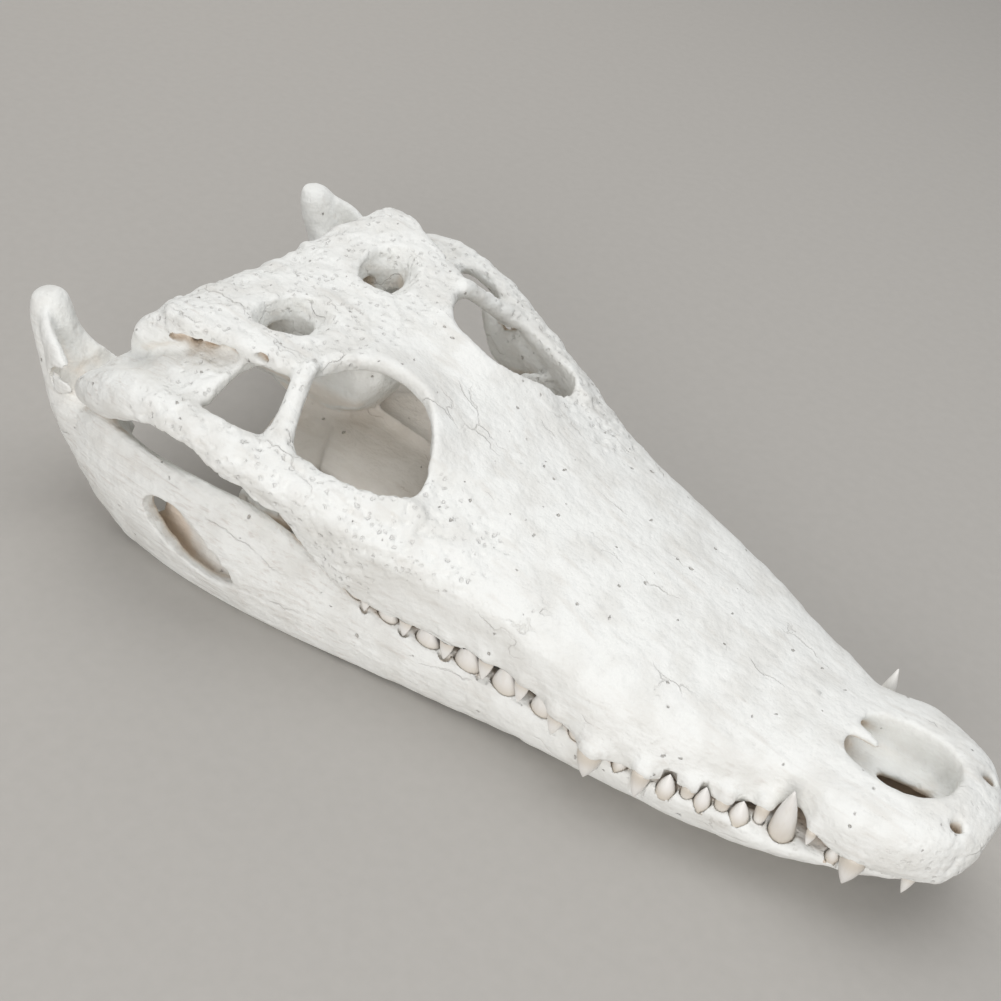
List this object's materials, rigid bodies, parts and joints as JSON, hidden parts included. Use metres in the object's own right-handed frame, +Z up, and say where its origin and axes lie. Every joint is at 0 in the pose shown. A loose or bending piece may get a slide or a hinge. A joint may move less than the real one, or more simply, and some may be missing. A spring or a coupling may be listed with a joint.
{
  "type": "crocodile skull",
  "caption": "Life-size skull of a young crocodile with closed jaws: cranium and two lower jaw halves, with the teeth in them, resting on its lower jaw.",
  "frame": {"origin": "on the floor under the middle of the skull's overall box", "axes": "+X towards the snout tip, +Y to the animal's left, +Z up"},
  "size_m": [0.2862, 0.1357, 0.0773],
  "materials": {
    "cranium": "dry bleached bone, fine pits and grain",
    "mandible_left": "dry bleached bone, fine pits and grain",
    "mandible_right": "dry bleached bone, fine pits and grain"
  },
  "bodies": {
    "root": {"cranium": "cranium", "mandible_left": "mandible_left", "mandible_right": "mandible_right"}
  },
  "joints": []
}
